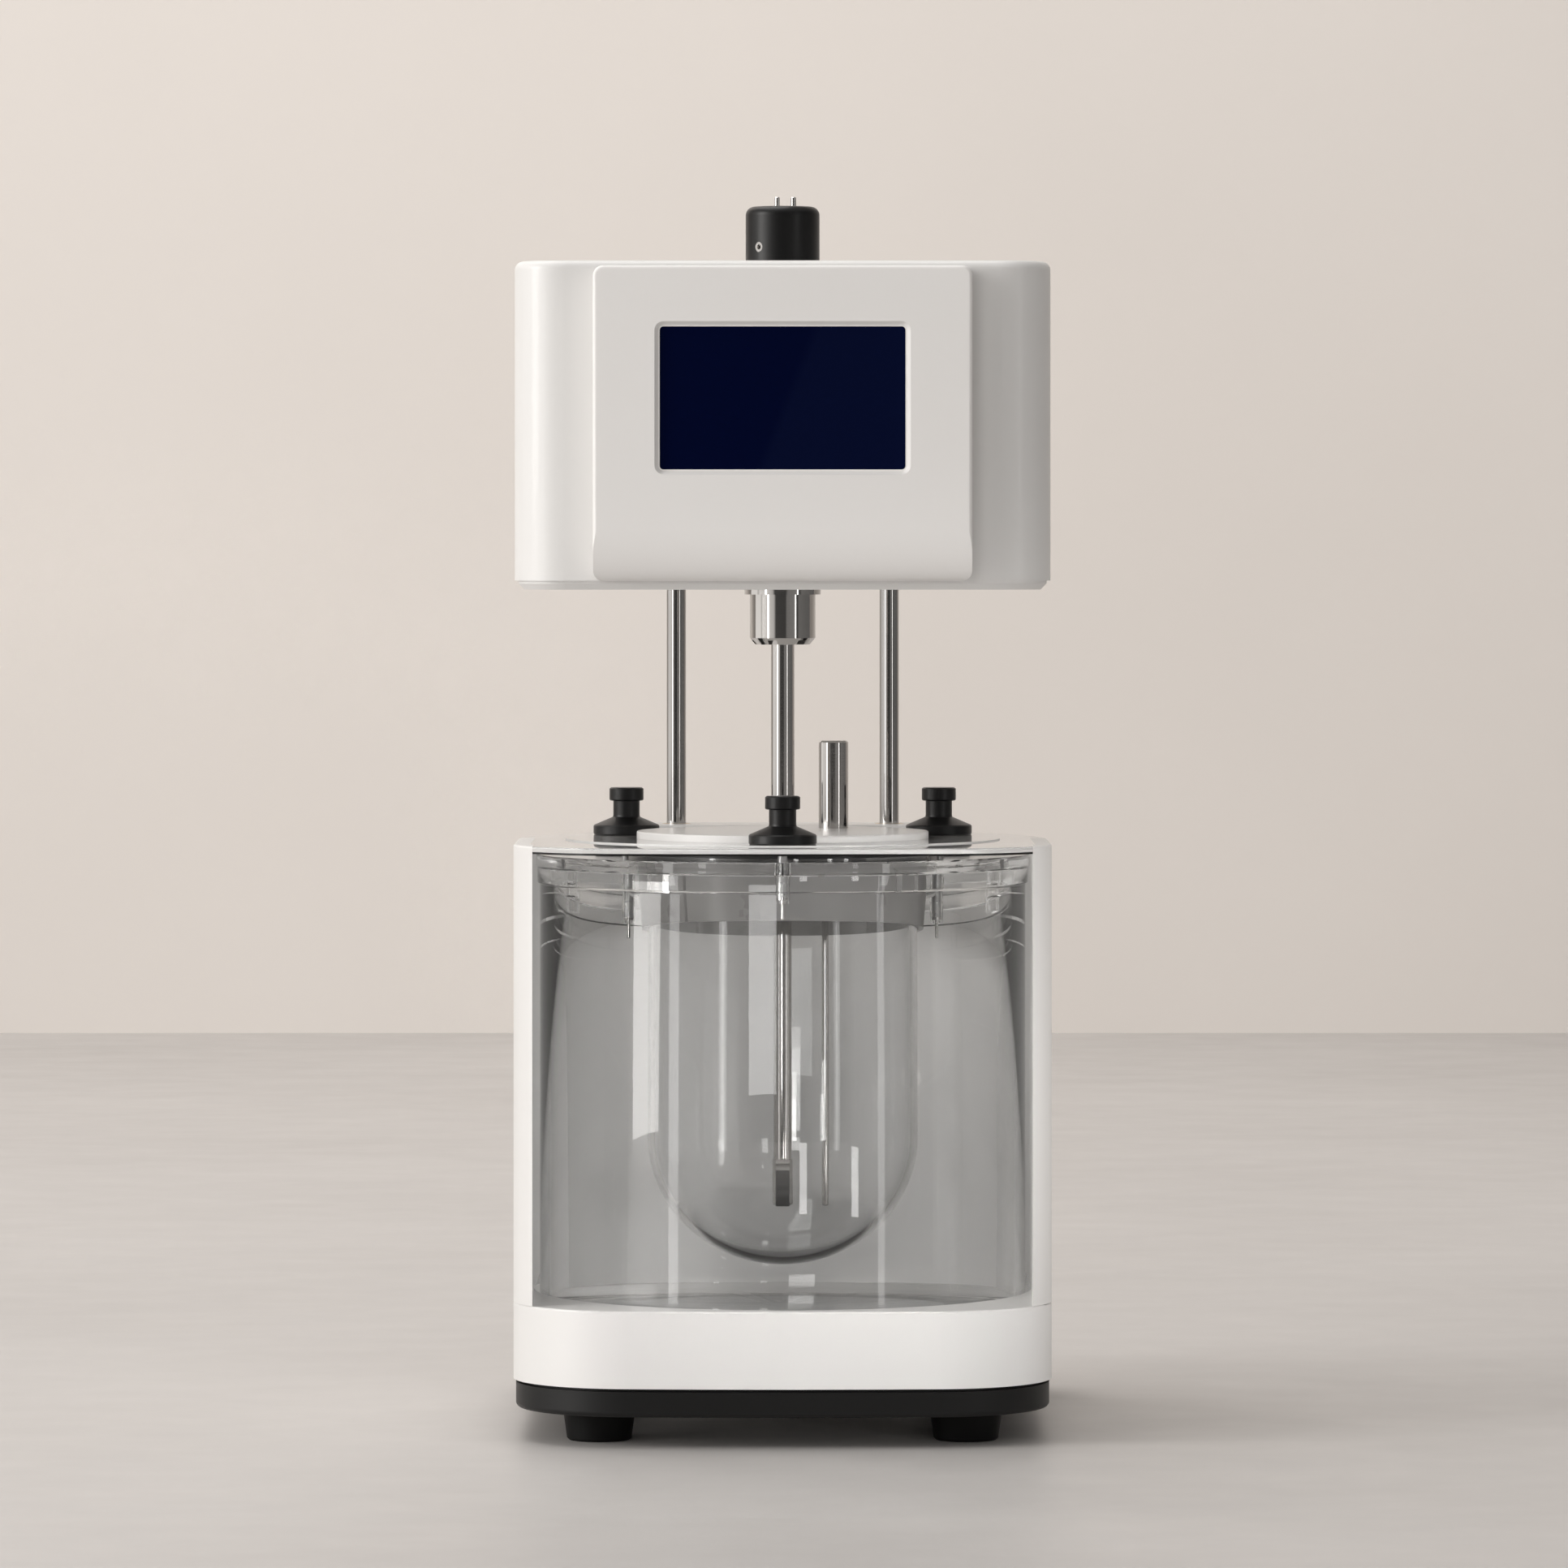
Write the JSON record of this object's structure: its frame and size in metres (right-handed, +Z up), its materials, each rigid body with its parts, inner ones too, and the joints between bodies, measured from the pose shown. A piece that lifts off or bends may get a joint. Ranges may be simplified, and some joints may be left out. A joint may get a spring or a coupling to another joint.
{
  "type": "tablet dissolution tester",
  "caption": "Bench dissolution tester: a motor head on two lift rods turns a paddle in a round-bottomed vessel set in a clear water bath.",
  "frame": {"origin": "middle of the footprint on the surface it stands on", "axes": "+Z up, front panel faces -Y, power switch on +X"},
  "size_m": [0.217, 0.258, 0.4903],
  "materials": {
    "white_housing": "glossy white moulded plastic",
    "panel_grey": "warm light grey satin plastic",
    "bay_grey": "light grey satin plastic",
    "black_plastic": "black moulded plastic",
    "knob_black": "black satin plastic",
    "black_rubber": "black rubber",
    "belt_rubber": "black toothed belt rubber",
    "clear_plastic": "clear moulded plastic",
    "vessel_glass": "clear laboratory glass",
    "smoky_collar": "grey translucent plastic",
    "screen_glass": "dark display glass",
    "polished_steel": "polished stainless steel",
    "rod_chrome": "hard chromed guide rod",
    "screw_steel": "zinc plated screw",
    "spring_steel": "spring steel",
    "heater_alloy": "cast aluminium",
    "bare_alloy": "machined aluminium",
    "motor_paint": "black painted motor case",
    "board_green": "green circuit board",
    "contact_brass": "plated contact",
    "bush_bronze": "sintered bronze"
  },
  "bodies": {
    "base": {"rubber_feet": "black_rubber", "base_plate": "black_plastic", "case_screws": "screw_steel", "base_shell": "white_housing", "heater_plate": "heater_alloy", "bath_jar": "clear_plastic", "bath_lid": "clear_plastic", "vessel_ring": "smoky_collar", "vessel": "vessel_glass", "deck_plate": "clear_plastic", "left_side_panel": "white_housing", "right_side_panel": "white_housing", "bay_back_panel": "bay_grey", "rear_cover": "white_housing", "rod_guide_plate": "white_housing", "rod_bushes": "bush_bronze", "lift_motor": "motor_paint", "lift_motor_bracket": "bare_alloy", "power_supply": "bare_alloy", "main_board": "board_green", "power_inlet": "black_plastic", "inlet_pins": "contact_brass", "switch_housing": "black_plastic", "plunger_sleeves": "clear_plastic"},
    "head": {"head_shell": "white_housing", "head_bottom_plate": "white_housing", "head_screws": "screw_steel", "front_panel": "panel_grey", "display_glass": "screen_glass", "display_module": "board_green", "drive_chassis": "bare_alloy", "lift_rods": "rod_chrome", "crosshead": "bare_alloy", "spindle_nose": "polished_steel", "spindle_bearings": "polished_steel", "drive_motor": "motor_paint", "drive_belt": "belt_rubber"},
    "lift_screw": {"lead_screw": "polished_steel"},
    "spindle": {"spindle_tube": "polished_steel", "spindle_pulley": "bare_alloy"},
    "motor_rotor": {"motor_shaft": "polished_steel", "motor_pulley": "bare_alloy"},
    "stirrer": {"stirrer_shaft": "polished_steel", "paddle_blade": "polished_steel", "drive_cap": "knob_black", "cap_pins": "polished_steel", "cap_set_screw": "polished_steel"},
    "cover": {"vessel_cover": "white_housing", "probe_handle": "polished_steel", "temperature_probe": "polished_steel"},
    "plunger_front": {"plunger_knob_front": "knob_black", "plunger_pin_front": "polished_steel", "plunger_spring_front": "spring_steel"},
    "plunger_left": {"plunger_knob_left": "knob_black", "plunger_pin_left": "polished_steel", "plunger_spring_left": "spring_steel"},
    "plunger_right": {"plunger_knob_right": "knob_black", "plunger_pin_right": "polished_steel", "plunger_spring_right": "spring_steel"},
    "rocker": {"power_rocker": "knob_black"}
  },
  "joints": [
    {"name": "head_lift", "type": "slide", "parent": "base", "child": "head", "axis": [0, 0, 1], "range_m": [0, 0.08]},
    {"name": "lift_screw_turn", "type": "hinge", "parent": "base", "child": "lift_screw", "pos_m": [0, 0.099, 0.12], "axis": [0, 0, 1], "range_deg": [0, 2890]},
    {"name": "spindle_spin", "type": "hinge", "parent": "head", "child": "spindle", "pos_m": [0, -0.023, 0.405], "axis": [0, 0, 1], "continuous": true},
    {"name": "motor_spin", "type": "hinge", "parent": "head", "child": "motor_rotor", "pos_m": [0, 0.039, 0.405], "axis": [0, 0, 1], "continuous": true},
    {"name": "shaft_lift", "type": "slide", "parent": "spindle", "child": "stirrer", "axis": [0, 0, 1], "range_m": [0, 0.03]},
    {"name": "cover_lift", "type": "slide", "parent": "base", "child": "cover", "axis": [0, 0, 1], "range_m": [0, 0.05]},
    {"name": "plunger_front_pull", "type": "slide", "parent": "base", "child": "plunger_front", "axis": [0, 0, 1], "range_m": [0, 0.006], "stiffness_N_per_m": 200, "springref_m": -0.01, "deforming": ["plunger_spring_front"]},
    {"name": "plunger_left_pull", "type": "slide", "parent": "base", "child": "plunger_left", "axis": [0, 0, 1], "range_m": [0, 0.006], "stiffness_N_per_m": 200, "springref_m": -0.01, "deforming": ["plunger_spring_left"]},
    {"name": "plunger_right_pull", "type": "slide", "parent": "base", "child": "plunger_right", "axis": [0, 0, 1], "range_m": [0, 0.006], "stiffness_N_per_m": 200, "springref_m": -0.01, "deforming": ["plunger_spring_right"]},
    {"name": "power_switch", "type": "hinge", "parent": "base", "child": "rocker", "pos_m": [0.104, 0.089, 0.062], "axis": [0, -1, 0], "range_deg": [0, 20]}
  ],
  "couplings": [
    {"joint": "lift_screw_turn", "follows": "head_lift", "rad_per_m": 628.32},
    {"joint": "motor_spin", "follows": "spindle_spin", "ratio": 2}
  ]
}
